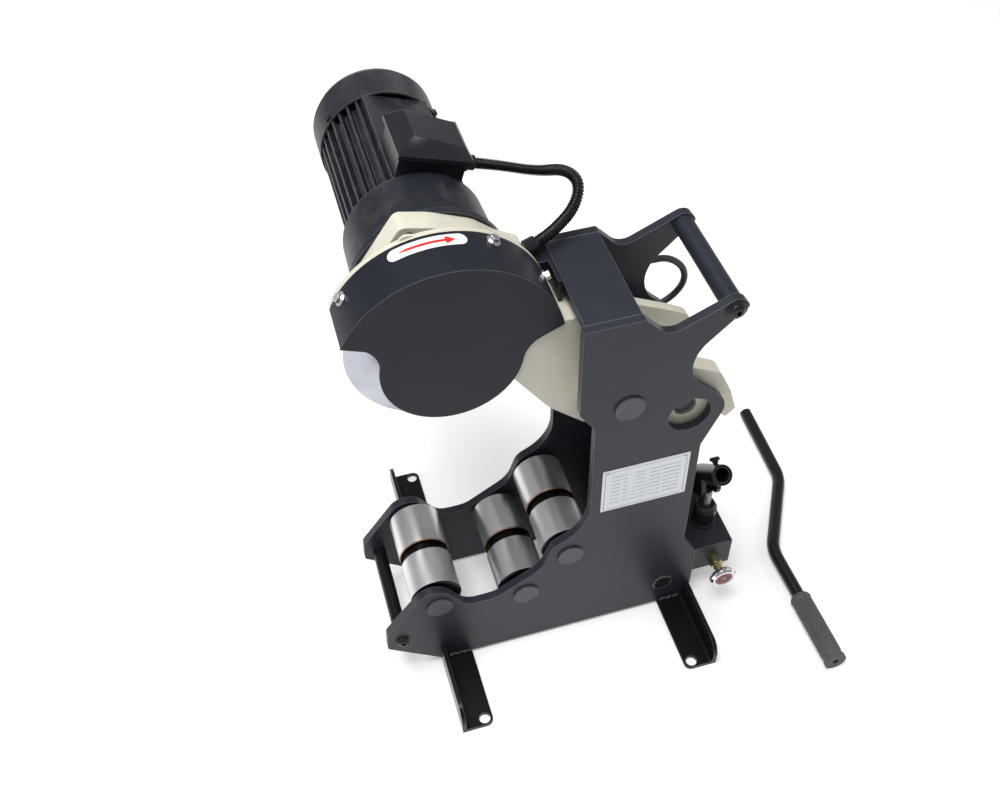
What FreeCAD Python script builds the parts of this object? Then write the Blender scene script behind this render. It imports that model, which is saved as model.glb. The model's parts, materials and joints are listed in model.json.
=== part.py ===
import FreeCAD, Part
import math
import os

import Sketcher

# Bench machine that parts steel pipe with a powered cutter wheel: two side plates carry three
# support rollers, a tilting arm carries gearbox, guard and motor, and a hand-pumped ram under
# the arm's tail presses the wheel into the pipe. +Z is up, +X runs from the nose to the pump,
# +Y from the front plate to the motor; the origin is the centre of the four foot bolts, on the
# floor. Lengths are in millimetres.

V = FreeCAD.Vector
doc = FreeCAD.newDocument("pipe_cutting_machine")
dims = doc.addObject("Spreadsheet::Sheet", "dims")

DRIVING = [
    ("frame_front", -100, "front face of the front side plate"),
    ("frame_wide", 150, "over both side plates"),
    ("plate_thick", 10, "side plates and top cover"),
    ("frame_top", 541, "height of the frame without the handle eyes"),
    ("foot_leg", 40, "leg of the angle-iron feet"),
    ("foot_thick", 5, "thickness of the angle iron"),
    ("foot_half", 205, "half the length of a foot"),
    ("foot_bolt_x", 136.9, "half the spacing of the foot bolts across the machine"),
    ("foot_bolt_y", 196, "half the spacing of the foot bolts along a foot"),
    ("foot_hole_r", 7, "foot bolt holes"),
    ("roller_r", 31.5, "support rollers"),
    ("roller_long", 122, "length of a roller"),
    ("roller_gap", 4, "space between a roller's end and a side plate"),
    ("roller_bore_r", 21, "bore of a roller, over its bearings"),
    ("roller_pin_r", 10, "roller pins"),
    ("pin_head_r", 16, "heads of the roller pins"),
    ("pin_head_t", 2.5, "how far pin heads stand off the plates"),
    ("nose_roller_x", -163.2, "roller at the nose"),
    ("nose_roller_z", 126.4, "roller at the nose"),
    ("low_roller_x", -54.1, "lowest roller"),
    ("low_roller_z", 106.7, "lowest roller"),
    ("back_roller_x", 1.7, "roller nearest the arm"),
    ("back_roller_z", 166.3, "roller nearest the arm"),
    ("pivot_x", 60.8, "arm pivot"),
    ("pivot_z", 414.9, "arm pivot"),
    ("pivot_r", 14, "arm pivot pin"),
    ("lug_x", 132.6, "access hole for the tail pin"),
    ("lug_z", 379.6, "access hole for the tail pin"),
    ("lug_r", 25, "access hole for the tail pin"),
    ("handle_x", 166.3, "carrying handle"),
    ("handle_z", 527.5, "carrying handle"),
    ("handle_r", 11.5, "carrying handle"),
    ("tie_x", -213.1, "tie rod in the nose"),
    ("tie_z", 70.8, "tie rod in the nose"),
    ("tie_r", 8.5, "tie rod in the nose"),
    ("head_x", -119, "cutter wheel axis"),
    ("head_z", 497.8, "cutter wheel axis"),
    ("motor_x", -113.4, "motor axis"),
    ("motor_z", 524.2, "motor axis"),
    ("wheel_r", 103, "cutter wheel"),
    ("wheel_mid", -27, "cutting plane of the wheel, half way along the rollers"),
    ("guard_x", -117.6, "centre of the guard's rim"),
    ("guard_z", 500.6, "centre of the guard's rim"),
    ("guard_front", -61, "front face of the guard"),
    ("guard_rear", -2.6, "rear edge of the guard's rim"),
    ("guard_sheet", 2.5, "sheet of the guard"),
    ("guard_r", 118.5, "rim of the guard"),
    ("lobe_r", 79, "depth of the guard's lower lobe under the rim's centre"),
    ("flange_rear", 38, "rear face of the gearbox flange"),
    ("bell_rear", 121, "rear end of the bell between gearbox and motor"),
    ("fins_rear", 279, "rear end of the finned motor housing"),
    ("cowl_rear", 339, "rear end of the fan cowl"),
    ("bell_r", 78, "bell"),
    ("motor_r", 61, "motor housing without its fins"),
    ("fin_tip_r", 70, "tips of the motor's fins"),
    ("cowl_r", 72, "fan cowl"),
    ("gear_module", 1.5, "teeth of the reduction gear"),
    ("pinion_teeth", 16, "drive pinion"),
    ("ring_teeth", 52, "ring gear on the cutter shaft"),
    ("ram_x", 126, "hydraulic ram"),
    ("ram_r", 25, "cylinder of the ram"),
    ("block_top", 89, "top of the pump block"),
    ("block_base", 42, "underside of the pump block"),
    ("block_end", 228.5, "free end of the pump block"),
    ("pump_x", 205, "hand pump"),
    ("pump_y", -48, "hand pump"),
    ("valve_x", 206, "release valve"),
    ("valve_z", 58, "release valve"),
    ("lever_r", 8.5, "bent rod of the pump lever"),
    ("grip_r", 14.5, "grip of the pump lever"),
]
for row, (alias, size, note) in enumerate(DRIVING, start=1):
    dims.set("A%d" % row, alias)
    dims.set("B%d" % row, str(size))
    dims.set("C%d" % row, note)
    dims.setAlias("B%d" % row, alias)
doc.recompute()


def size(expression):
    """Value of an expression on the sheet's cells, such as 'pivot_x + 2 * pivot_r'."""
    if not isinstance(expression, str):
        return float(expression)
    return float(dims.evalExpression(expression))


def on_sheet(expression):
    """The same expression as seen from another object: every cell name gets the sheet's."""
    words = expression.replace("(", "( ").replace(")", " )").split()
    names = {alias for alias, _, _ in DRIVING}
    return " ".join("dims." + word if word in names else word for word in words)


def bind(item, prop, expression):
    """Drive a property from the sheet, or give it a plain number."""
    if isinstance(expression, str):
        item.setExpression(prop, on_sheet(expression))
    else:
        item.setExpression(prop, str(expression))


def place(item, at, turn=None):
    """Placement of a sub-part: where its own origin goes, and its turn."""
    item.Placement = FreeCAD.Placement(V(*(size(value) for value in at)), turn or FreeCAD.Rotation())
    for axis, value in zip("xyz", at):
        if isinstance(value, str):
            bind(item, ".Placement.Base." + axis, value)
    return item


def origin_plane(body, role):
    return [item for item in body.Origin.OriginFeatures if item.Role == role][0]


def rounded(corners):
    """Closed X-Z outline through (x, z, radius) corners: straight edges joined by tangent arcs."""
    count = len(corners)
    starts, ends, middles = [], [], []
    for here in range(count):
        x, z, radius = (size(value) for value in corners[here])
        before = V(size(corners[here - 1][0]), size(corners[here - 1][1]), 0)
        after = V(size(corners[(here + 1) % count][0]), size(corners[(here + 1) % count][1]), 0)
        tip = V(x, z, 0)
        back = (before - tip).normalize()
        ahead = (after - tip).normalize()
        half = back.getAngle(ahead) / 2
        run = radius / math.tan(half)
        middle = tip + (back + ahead).normalize() * (radius / math.sin(half) - radius)
        starts.append(tip + back * run)
        ends.append(tip + ahead * run)
        middles.append(middle)
    edges = []
    for here in range(count):
        if (starts[here] - ends[here]).Length > 0.01:
            edges.append(Part.Arc(starts[here], middles[here], ends[here]))
        edges.append(Part.LineSegment(ends[here], starts[(here + 1) % count]))
    return edges


def circle(x, z, radius):
    """A hole or disc in an outline: centre and radius, each a number or an expression."""
    return ("circle", x, z, radius)


def sketch_on(body, outline, rear):
    """Sketch in a body's X-Z plane moved back to y = rear; its normal points to the front."""
    sketch = body.newObject("Sketcher::SketchObject", body.Name + "_sketch")
    sketch.AttachmentSupport = [(origin_plane(body, "XZ_Plane"), "")]
    sketch.MapMode = "FlatFace"
    bind(sketch, "AttachmentOffset.Base.z", "0 - ( %s )" % rear)
    for shape in outline:
        if isinstance(shape, tuple):
            _, x, z, radius = shape
            ring = sketch.addGeometry(Part.Circle(V(size(x), size(z), 0), V(0, 0, 1), size(radius)), False)
            limits = [("DistanceX", x), ("DistanceY", z)]
            for kind, value in limits:
                if abs(size(value)) > 1e-6:
                    number = sketch.addConstraint(
                        Sketcher.Constraint(kind, -1, 1, ring, 3, size(value)))
                    if isinstance(value, str):
                        bind(sketch, "Constraints[%d]" % number, value)
            number = sketch.addConstraint(Sketcher.Constraint("Radius", ring, size(radius)))
            if isinstance(radius, str):
                bind(sketch, "Constraints[%d]" % number, radius)
        else:
            sketch.addGeometry(shape, False)
    doc.recompute()
    return sketch


def slab(body, outline, front, rear):
    """Add the outline to a body as a slab from y = front back to y = rear."""
    pad = body.newObject("PartDesign::Pad", body.Name + "_pad")
    pad.Profile = sketch_on(body, outline, rear)
    bind(pad, "Length", "( %s ) - ( %s )" % (rear, front))
    doc.recompute()
    return pad


def cut(body, outline, front, rear):
    """Cut the outline out of a body between y = front and y = rear, and test that it cuts."""
    before = body.Shape.Volume
    pocket = body.newObject("PartDesign::Pocket", body.Name + "_pocket")
    pocket.Profile = sketch_on(body, outline, rear)
    pocket.Reversed = True
    bind(pocket, "Length", "( %s ) - ( %s )" % (rear, front))
    doc.recompute()
    if body.Shape.Volume > before - 0.5:
        raise ValueError("a pocket in %s cuts nothing" % body.Label)
    return pocket


def new_body(label):
    body = doc.addObject("PartDesign::Body", label)
    body.Label = label
    return body


def flat(label, outline, front, rear):
    """Sub-part cut from one flat outline."""
    body = new_body(label)
    slab(body, outline, front, rear)
    return body


UP = V(0, 0, 1)
FRONT = V(0, -1, 0)
REAR = V(0, 1, 0)
RIGHT = V(1, 0, 0)


def turned(label, half, at, along=UP):
    """Sub-part turned about its own Z axis from (radius, height) corners, then laid along a
    direction."""
    body = new_body(label)
    sketch = body.newObject("Sketcher::SketchObject", label + "_half")
    sketch.AttachmentSupport = [(origin_plane(body, "XZ_Plane"), "")]
    sketch.MapMode = "FlatFace"
    points = [V(size(radius), size(height), 0) for radius, height in half]
    count = len(points)
    for here in range(count):
        sketch.addGeometry(Part.LineSegment(points[here], points[(here + 1) % count]), False)
    for here in range(count):
        sketch.addConstraint(Sketcher.Constraint("Coincident", here, 2, (here + 1) % count, 1))
    for here, corner in enumerate(half):
        for kind, value, axis in (("DistanceX", corner[0], -2), ("DistanceY", corner[1], -1)):
            if abs(size(value)) < 1e-6:
                sketch.addConstraint(Sketcher.Constraint("PointOnObject", here, 1, axis))
                continue
            number = sketch.addConstraint(Sketcher.Constraint(kind, -1, 1, here, 1, size(value)))
            if isinstance(value, str):
                bind(sketch, "Constraints[%d]" % number, value)
    doc.recompute()
    spin = body.newObject("PartDesign::Revolution", label + "_spin")
    spin.Profile = sketch
    spin.ReferenceAxis = (sketch, ["V_Axis"])
    spin.Angle = 360
    doc.recompute()
    return place(body, at, FreeCAD.Rotation(UP, along))


def rod(label, radius, length, at, along=UP):
    """Plain round bar."""
    bar = doc.addObject("Part::Cylinder", label)
    bar.Label = label
    bind(bar, "Radius", radius)
    bind(bar, "Height", length)
    return place(bar, at, FreeCAD.Rotation(UP, along))


def block(label, corner, spans):
    """Plain rectangular block from its low corner."""
    box = doc.addObject("Part::Box", label)
    box.Label = label
    for prop, span in zip(("Length", "Width", "Height"), spans):
        bind(box, prop, span)
    return place(box, corner)


def joined(label, kind, items):
    """Boolean of finished shapes: 'Fuse' or 'Cut' (the first less the others)."""
    whole = doc.addObject("Part::MultiFuse" if kind == "Fuse" else "Part::Cut", label)
    whole.Label = label
    if kind == "Fuse":
        whole.Shapes = items
        whole.Refine = True
    else:
        whole.Base, whole.Tool = items
    doc.recompute()
    return whole


def group(label, items):
    """Separate solids that share one node, such as a set of equal screws."""
    many = doc.addObject("Part::Compound", label)
    many.Label = label
    many.Links = items
    doc.recompute()
    return many


def shaped(label, shape, at=(0, 0, 0)):
    """Sub-part whose form comes from Part's own functions."""
    item = doc.addObject("Part::Feature", label)
    item.Label = label
    item.Shape = shape
    return place(item, at)


def hex_prism(label, across, length, at, along):
    prism = doc.addObject("Part::Prism", label)
    prism.Label = label
    prism.Polygon = 6
    bind(prism, "Circumradius", across / math.sqrt(3))
    bind(prism, "Height", length)
    return place(prism, at, FreeCAD.Rotation(UP, along))


def smooth_path(points, share=0.45):
    """Wire of straight runs joined by tangent arcs: each radius is a share of the shorter run
    over the tangent of half the turn."""
    corners = [V(*point) for point in points]
    edges, radii = [], []
    last = corners[0]
    for before, tip, after in zip(corners, corners[1:], corners[2:]):
        back, ahead = before - tip, after - tip
        shorter = min(back.Length, ahead.Length)
        back.normalize()
        ahead.normalize()
        half_turn = (math.pi - back.getAngle(ahead)) / 2
        radius = share * shorter / math.tan(half_turn)
        start, end = tip + back * (share * shorter), tip + ahead * (share * shorter)
        middle = tip + (back + ahead).normalize() * (radius / math.cos(half_turn) - radius)
        edges.append(Part.LineSegment(last, start).toShape())
        edges.append(Part.Arc(start, middle, end).toShape())
        radii.append(round(radius))
        last = end
    edges.append(Part.LineSegment(last, corners[-1]).toShape())
    return Part.Wire(edges), radii


def tube(label, points, radius):
    """Solid cord or bent rod along a smooth path; prints its radii and tests its volume."""
    path, radii = smooth_path(points)
    first = (V(*points[1]) - V(*points[0])).normalize()
    section = Part.Wire(Part.Circle(V(*points[0]), first, radius).toShape())
    solid = path.makePipeShell([section], True, False)
    expected = math.pi * radius ** 2 * path.Length
    print(label, "length", round(path.Length), "radii", radii,
          "volume ratio", round(solid.Volume / expected, 4))
    return shaped(label, solid)


parts = []

# ---- frame -------------------------------------------------------------------------------------
# One outline serves both side plates: nose with tie rod, a boss over each roller, the throat
# that the pipe lies in, the arm's upright, the eye of the carrying handle and the lug round the
# tail pin's access hole.
PLATE_OUTLINE = [
    (-166, "foot_thick", 4),
    (-233, 60, 7),
    (-231, 90, 10),
    ("nose_roller_x - 6", 175, 24),
    (-128, 114, 24),
    (-92, 114, 30),
    (-34, 151, 44),
    (-21, 191, 24),
    (23.5, 212, 60),
    (23.5, 391, 12),
    (5, 420, 10),
    (5, "frame_top", 0.5),
    (69, "frame_top", 4),
    (97, 511, 20),
    ("handle_x + 15", 550, 14),
    ("handle_x + 13.7", 528.5, 8),
    (108.5, 457, 46),
    (178, 387.5, 28),
    (152, 322, 12),
    (152, 136, 12),
    (171.4, 103, 8),
    (171.4, "foot_thick", 1),
]
ROLLERS = {"nose": ("nose_roller_x", "nose_roller_z"),
           "low": ("low_roller_x", "low_roller_z"),
           "back": ("back_roller_x", "back_roller_z")}
SCREW_R = 5
FRONT_IN = "frame_front + plate_thick"
REAR_OUT = "frame_front + frame_wide"
REAR_IN = "frame_front + frame_wide - plate_thick"
SLACK = 0.05

for label, front, rear in (("front_side_plate", "frame_front", FRONT_IN),
                           ("rear_side_plate", REAR_IN, REAR_OUT)):
    plate = flat(label, rounded(PLATE_OUTLINE), front, rear)
    holes = [circle(x, z, "roller_pin_r") for x, z in ROLLERS.values()]
    holes.append(circle("pivot_x", "pivot_z", "pivot_r"))
    holes.append(circle("lug_x", "lug_z", "lug_r"))
    holes.append(circle("handle_x", "handle_z", SCREW_R))
    holes.append(circle("tie_x", "tie_z", SCREW_R))
    cut(plate, holes, front, rear)
    parts.append(plate)

COVER_LEFT = 9
parts.append(block("top_cover", (COVER_LEFT, FRONT_IN, "frame_top - plate_thick"),
                   (60, "frame_wide - 2 * plate_thick", "plate_thick")))


LEG_ROUND, TOE_ROUND = 22, 9
FOOT_IN, FOOT_OUT, ROOT_ROUND, NOTCH_WIDE = 126.8, 167.2, 4, 12


def end_round(side, end):
    """What is cut off one end of a foot: the top corner of its leg and the inner corner of its flange."""
    beyond = 1
    leg_top = Part.makeBox(30, LEG_ROUND + beyond, LEG_ROUND + beyond, V(-15, 0, 0))
    leg_top = leg_top.cut(Part.makeCylinder(LEG_ROUND, 30, V(-15, 0, 0), RIGHT))
    toe = Part.makeBox(TOE_ROUND + beyond, TOE_ROUND + beyond, 20, V(0, 0, -5))
    toe = toe.cut(Part.makeCylinder(TOE_ROUND, 20, V(0, 0, -5), UP))
    if end < 0:
        leg_top, toe = leg_top.mirror(V(0, 0, 0), REAR), toe.mirror(V(0, 0, 0), REAR)
    if side > 0:
        toe = toe.mirror(V(0, 0, 0), RIGHT)
    half = size("foot_half")
    leg_top.translate(V(side * FOOT_OUT, end * (half - LEG_ROUND), size("foot_leg") - LEG_ROUND))
    toe.translate(V(side * (FOOT_IN + TOE_ROUND), end * (half - TOE_ROUND), 0))
    return [leg_top, toe]


def foot(label, side):
    """Angle-iron foot: flange on the floor with a bolt hole near each end, leg on the outside,
    notched where the side plates stand on the flange."""
    angle = new_body(label)
    leg_in = "%s - foot_thick" % FOOT_OUT
    across = [(FOOT_IN, 0, 2), (FOOT_OUT, 0, 0.5), (FOOT_OUT, "foot_leg", 2), (leg_in, "foot_leg", 1),
              (leg_in, "foot_thick", ROOT_ROUND), (FOOT_IN, "foot_thick", 1)]
    if side < 0:
        across = [("0 - ( %s )" % x, z, radius) for x, z, radius in across]
    slab(angle, rounded(across), "0 - foot_half", "foot_half")
    hole_sketch = angle.newObject("Sketcher::SketchObject", label + "_holes")
    hole_sketch.AttachmentSupport = [(origin_plane(angle, "XY_Plane"), "")]
    hole_sketch.MapMode = "FlatFace"
    for end in (-1, 1):
        ring = hole_sketch.addGeometry(
            Part.Circle(V(side * size("foot_bolt_x"), end * size("foot_bolt_y"), 0), UP,
                        size("foot_hole_r")), False)
        number = hole_sketch.addConstraint(Sketcher.Constraint("Radius", ring, size("foot_hole_r")))
        bind(hole_sketch, "Constraints[%d]" % number, "foot_hole_r")
    doc.recompute()
    solid = angle.Shape.Volume
    holes = angle.newObject("PartDesign::Pocket", label + "_drill")
    holes.Profile = hole_sketch
    holes.Reversed = True
    bind(holes, "Length", "foot_thick")
    doc.recompute()
    if angle.Shape.Volume > solid - 1:
        raise ValueError("the foot bolt holes cut nothing")
    notch_x = min(side * (FOOT_OUT + 1 - NOTCH_WIDE), side * (FOOT_OUT + 1))
    notch_front = block(label + "_notch_front", (notch_x, "frame_front", "foot_thick"),
                        (NOTCH_WIDE, "plate_thick", "foot_leg"))
    notch_rear = block(label + "_notch_rear", (notch_x, REAR_IN, "foot_thick"),
                       (NOTCH_WIDE, "plate_thick", "foot_leg"))
    notches = joined(label + "_notches", "Fuse", [notch_front, notch_rear])
    angle.Label = label + "_angle"
    notched = joined(label + "_notched", "Cut", [angle, notches])
    rounds = shaped(label + "_end_rounds", Part.makeCompound(end_round(side, -1) + end_round(side, 1)))
    return joined(label, "Cut", [notched, rounds])


parts.append(foot("left_foot", -1))
parts.append(foot("right_foot", 1))


def button_screws(label, x, z, head_r, washer_r):
    """Button-head screw with washer through each side plate, heads outside."""
    items = []
    for side, face, along in (("front", "frame_front", FRONT), ("rear", REAR_OUT, REAR)):
        half = [(0, "0 - plate_thick"), (SCREW_R - SLACK, "0 - plate_thick"), (SCREW_R - SLACK, 0),
                (washer_r, 0), (washer_r, 1.5), (head_r, 1.5), (head_r * 0.96, 3.6),
                (head_r * 0.66, 5.6), (3, 6.2), (3, 3), (0, 3)]
        items.append(turned("%s_%s" % (label, side), half, (x, face, z), along))
    return group(label, items)


parts.append(rod("nose_tie_rod", "tie_r", "frame_wide - 2 * plate_thick",
                 ("tie_x", FRONT_IN, "tie_z"), REAR))
parts.append(button_screws("nose_tie_screws", "tie_x", "tie_z", 7.5, 9.5))
parts.append(rod("carry_handle", "handle_r", "frame_wide - 2 * plate_thick",
                 ("handle_x", FRONT_IN, "handle_z"), REAR))
parts.append(button_screws("carry_handle_screws", "handle_x", "handle_z", 9, 11.5))


def headed_pin(label, x, z, shank_r, head_r):
    """Pin through both side plates; each end has a low head with a turned groove."""
    half = [(0, "0 - pin_head_t"), (head_r, "0 - pin_head_t"), (head_r, 0), (shank_r, 0),
            (shank_r, "frame_wide"), (head_r, "frame_wide"), (head_r, "frame_wide + pin_head_t"),
            (0, "frame_wide + pin_head_t")]
    return turned(label, half, (x, "frame_front", z), REAR)


parts.append(group("roller_pins", [headed_pin("%s_roller_pin" % name, x, z,
                                              "roller_pin_r - %s" % SLACK, "pin_head_r")
                                   for name, (x, z) in ROLLERS.items()]))
parts.append(headed_pin("arm_pivot_pin", "pivot_x", "pivot_z", "pivot_r - %s" % SLACK, 17))

# Data plate on the front side plate, held by four rivets.
plate_at = (36, "frame_front - 1", 240)
parts.append(block("data_plate", plate_at, (105, 1, 74)))
rivets = [turned("data_rivet_%d_%d" % (column, row),
                 [(0, 0), (2.6, 0), (2.2, 1), (1.1, 1.6), (0, 1.7)],
                 (plate_at[0] + 6 + column * 93, "frame_front - 1", plate_at[2] + 6 + row * 62), FRONT)
          for column in (0, 1) for row in (0, 1)]
parts.append(group("data_plate_rivets", rivets))

# ---- support rollers ---------------------------------------------------------------------------
GROOVE_FRONT, GROOVE_REAR = 52.8, 64.6
RUN = 0.03
for name, (x, z) in ROLLERS.items():
    half = [("roller_bore_r", 0), ("roller_r - 2.5", 0), ("roller_r", 1.5),
            ("roller_r", GROOVE_FRONT - 1), ("roller_r - 1", GROOVE_FRONT),
            ("roller_r - 5", GROOVE_FRONT), ("roller_r - 5", GROOVE_REAR),
            ("roller_r - 1", GROOVE_REAR), ("roller_r", GROOVE_REAR + 1),
            ("roller_r", "roller_long - 1.5"), ("roller_r - 2.5", "roller_long"),
            ("roller_bore_r", "roller_long")]
    start = "frame_front + plate_thick + roller_gap"
    parts.append(turned(name + "_roller", half, (x, start, z), REAR))
    bearings = []
    for end, offset in (("front", 0), ("rear", "roller_long - 14")):
        ring = [("roller_pin_r + %s" % RUN, 0), ("roller_pin_r + 4", 0), ("roller_pin_r + 4", 1),
                ("roller_bore_r - 3.5", 1), ("roller_bore_r - 3.5", 0), ("roller_bore_r", 0),
                ("roller_bore_r", 14), ("roller_pin_r + %s" % RUN, 14)]
        bearings.append(turned("%s_%s_bearing" % (name, end), ring,
                               (x, "%s + %s" % (start, offset), z), REAR))
    parts.append(group(name + "_roller_bearings", bearings))

# ---- hand pump and ram -------------------------------------------------------------------------
parts.append(block("pump_block", (78, FRONT_IN, "block_base"),
                   ("block_end - 78", "frame_wide - 2 * plate_thick", "block_top - block_base")))
BARREL_HIGH, PLUNGER_LOW, PLUNGER_HIGH = 36, 24, 61
parts.append(turned("pump_barrel", [(0, 0), (16, 0), (16, 3), (15, 4), (15, BARREL_HIGH - 7),
                                    (13, BARREL_HIGH - 4), (11.5, BARREL_HIGH - 3), (11.5, BARREL_HIGH),
                                    (6 + SLACK, BARREL_HIGH), (6 + SLACK, 2), (0, 2)],
                    ("pump_x", "pump_y", "block_top")))
parts.append(turned("pump_plunger", [(0, PLUNGER_LOW), (6, PLUNGER_LOW), (6, PLUNGER_HIGH - 3),
                                     (4, PLUNGER_HIGH), (0, PLUNGER_HIGH)],
                    ("pump_x", "pump_y", "block_top")))
ram_y = "wheel_mid"
CYLINDER_LONG, CAVITY_LOW, CAP_LOW, ROD_R, ROD_TOP = 226, 40, 214, 13, 262
CAVITY_R = "ram_r - 4"
parts.append(turned("ram_cylinder", [(0, 0), ("ram_r + 4", 0), ("ram_r + 4", 14), ("ram_r", 16),
                                     ("ram_r", CYLINDER_LONG - 12), ("ram_r + 2", CYLINDER_LONG - 11),
                                     ("ram_r + 2", CYLINDER_LONG), (ROD_R + SLACK, CYLINDER_LONG),
                                     (ROD_R + SLACK, CAP_LOW), (CAVITY_R, CAP_LOW),
                                     (CAVITY_R, CAVITY_LOW), (0, CAVITY_LOW)],
                    ("ram_x", ram_y, "block_top")))
PISTON_LOW, PISTON_TOP = CAVITY_LOW + 4, CAVITY_LOW + 16
PAD_TOP = "lug_z - 13.8"
parts.append(turned("ram_rod", [(0, PISTON_LOW), ("ram_r - 4.05", PISTON_LOW),
                                ("ram_r - 4.05", PISTON_TOP), (ROD_R, PISTON_TOP), (ROD_R, ROD_TOP),
                                (0, ROD_TOP)], ("ram_x", ram_y, "block_top")))
parts.append(turned("ram_pad", [(0, "block_top + %d" % ROD_TOP), (ROD_R, "block_top + %d" % ROD_TOP),
                                (17, "block_top + %d" % (ROD_TOP + 5)), (17, "%s - 1" % PAD_TOP),
                                (16, PAD_TOP), (0, PAD_TOP)], ("ram_x", ram_y, 0)))

# Return spring of the ram: a coil round the rod, between piston and cap.
SPRING_R, WIRE_R, TURNS = 17.2, 2.4, 11
spring_low = PISTON_TOP + WIRE_R + 0.4
spring_long = CAP_LOW - PISTON_TOP - 2 * WIRE_R - 0.8
helix = Part.makeHelix(spring_long / TURNS, spring_long, SPRING_R)
wire_section = Part.Wire(Part.Circle(V(SPRING_R, 0, 0), REAR, WIRE_R).toShape())
coil = Part.Wire(helix.Edges).makePipeShell([wire_section], True, True)
print("ram_spring volume ratio", round(coil.Volume / (math.pi * WIRE_R ** 2 * helix.Length), 4))
parts.append(shaped("ram_spring", coil, ("ram_x", ram_y, "block_top + %s" % spring_low)))

# Lever socket: a tube that points to the front and up, on a fork hinged behind the pump.
FULCRUM_Y, FULCRUM_Z = -14, 134
TILT = 49
TUBE_R, TUBE_LONG, BORE_R, BORE_LONG = 13.2, 74, 9.05, 52
aim = V(0, -math.cos(math.radians(TILT)), math.sin(math.radians(TILT)))
above = V(0, math.sin(math.radians(TILT)), math.cos(math.radians(TILT)))
mouth = V(size("pump_x"), -73, 213)
heel = mouth - aim * TUBE_LONG
tube_blank = Part.makeCylinder(TUBE_R, TUBE_LONG, heel, aim)
cheeks = []
for side in (-1, 1):
    outline = rounded([(6, 126, 7), (22, 125, 7), (54, 150, 6), (56, 160, 5), (50, 180, 3),
                       (20, 160, 3), (6, 144, 5)])
    fork_x = size("pump_x") + side * 10.5 - 2.5
    wire = Part.Wire([edge.toShape() for edge in outline])
    face = Part.Face(wire)
    face.rotate(V(0, 0, 0), RIGHT, 90)
    face.rotate(V(0, 0, 0), UP, -90)
    face.translate(V(fork_x, 0, 0))
    cheeks.append(face.extrude(V(5, 0, 0)))
pin_hole = Part.makeCylinder(4 + SLACK, 60, V(size("pump_x") - 30, FULCRUM_Y, FULCRUM_Z), RIGHT)
bore = Part.makeCylinder(BORE_R, BORE_LONG, mouth - aim * BORE_LONG, aim)
screw_at = mouth - aim * 14
screw_hole = Part.makeCylinder(3 + RUN, 30, screw_at, above)
socket = tube_blank.fuse(cheeks).cut(Part.makeCompound([pin_hole, bore, screw_hole]))
parts.append(shaped("lever_socket", socket.removeSplitter()))
ears = [Part.makeBox(5, 18, 54, V(size("pump_x") + side * 16.5 - 2.5, FULCRUM_Y - 9, size("block_top")))
        for side in (-1, 1)]
fulcrum_pin = Part.makeCylinder(4, 42, V(size("pump_x") - 21, FULCRUM_Y, FULCRUM_Z), RIGHT)
parts.append(shaped("pump_fulcrum", ears[0].fuse([ears[1], fulcrum_pin])))
parts.append(turned("socket_thumb_screw", [(0, 9.6), (3, 9.6), (3, 15), (4, 15.5), (4, 17.5),
                                           (6.5, 18), (6.5, 21), (5, 22.5), (0, 22.5)],
                    (screw_at.x, screw_at.y, screw_at.z), above))

# Release valve in the front of the pump block, with its round knob.
valve_face = FRONT_IN
nut = hex_prism("valve_nut", 16, 11, ("valve_x", valve_face, "valve_z"), FRONT)
collar = turned("valve_collar", [(0, 10), (8.2, 10), (8.2, 13), (6, 14), (6, 19), (0, 19)],
                ("valve_x", valve_face, "valve_z"), FRONT)
parts.append(joined("release_valve", "Fuse", [nut, collar]))
parts.append(turned("release_knob", [(0, 19.3), (4, 19.3), (4, 24), (15, 26), (17.5, 28.5), (17.5, 32),
                                     (15, 35), (12.5, 35), (12, 34.2), (0, 34.2)],
                    ("valve_x", valve_face, "valve_z"), FRONT))

# ---- tilting arm -------------------------------------------------------------------------------
# One casting: gearbox flange behind the guard, neck between the side plates, hub on the pivot,
# two cheeks that hold the tail pin.
casting = new_body("arm_casting")
hub_front, hub_rear = -84, 34
CHEEK_THICK, LUG_STAND, LUG_BORE = 20, 3, 13
slab(casting, rounded([(-184, 566, 6), (-145, 621, 9), (-112, 613, 60), (-68, 594, 40),
                       (-44, 574, 16), (-20, 560, 8), (-20, 522, 4), (2, 519, 5), (2, 480, 10),
                       (-36, 424, 30), (-120, 404, 70), (-190, 440, 50), (-186, 520, 20)]),
     0, "flange_rear")
guard_mid = V(size("guard_x"), size("guard_z"), 0)


def about_guard(radius, degrees):
    turn = math.radians(degrees)
    return guard_mid + V(math.cos(turn), math.sin(turn), 0) * radius


RIM_FROM, RIM_TO = 9.5, 154
band_start = about_guard(size("guard_r"), RIM_FROM)
band_end = about_guard(size("guard_r"), RIM_TO)
slab(casting, [Part.Arc(band_start, about_guard(size("guard_r"), 80), band_end),
               Part.LineSegment(band_end, band_start)], "guard_rear + 0.1", 3.5)
slab(casting, rounded([(-62, 520, 6), (22, 519, 12), (86, 470, 34), (78, 384, 20), (58, 366, 8),
                       (30, 352, 12), (-14, 393, 50), (-62, 464, 4)]), -56, 34)
slab(casting, [circle("pivot_x", "pivot_z", 43)], hub_front, hub_rear)
CHEEK = [(80, 467, 20), (112, 449, 10), (150, 430, 20), (172, 417, 18), (187, 385, 30), (197, 352, 3),
         (186, 341, 3), (168, 362, 8), (144, 344, 16), (118, 348, 16), (60, 366, 20)]
slab(casting, rounded(CHEEK), 11, 23)
slab(casting, rounded(CHEEK), hub_front, hub_front + CHEEK_THICK)
slab(casting, [circle("lug_x", "lug_z", 31)], hub_front - LUG_STAND, hub_front + CHEEK_THICK)
cut(casting, [circle("pivot_x", "pivot_z", 19)], hub_front, hub_rear)
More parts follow.
